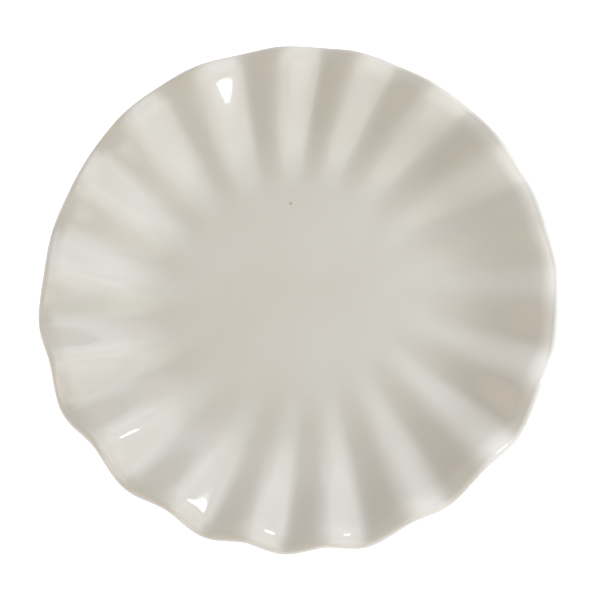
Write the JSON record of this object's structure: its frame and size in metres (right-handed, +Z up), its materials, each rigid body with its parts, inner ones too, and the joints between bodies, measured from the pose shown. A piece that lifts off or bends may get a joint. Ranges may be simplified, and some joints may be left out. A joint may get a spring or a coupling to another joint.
{
  "type": "scalloped dessert plate",
  "caption": "Shallow round dessert plate with a flat well, a soft fluted wall and a thick rounded wavy lip, in glossy cream glaze, on a low foot ring.",
  "frame": {"origin": "middle of the foot ring's resting face, on the surface that the plate stands on", "axes": "+Z up through the plate, +Y towards the far side of the plate as it lies in the picture, +X to the right"},
  "size_m": [0.2062, 0.2064, 0.0305],
  "materials": {
    "stoneware": "matte",
    "slip": "matte",
    "glaze": "gloss",
    "glaze_under": "gloss"
  },
  "bodies": {
    "root": {"plate_body": "stoneware", "foot_ring": "stoneware", "luting_slip": "slip", "face_glaze": "glaze", "back_glaze": "glaze_under", "base_glaze": "glaze_under"}
  },
  "joints": []
}
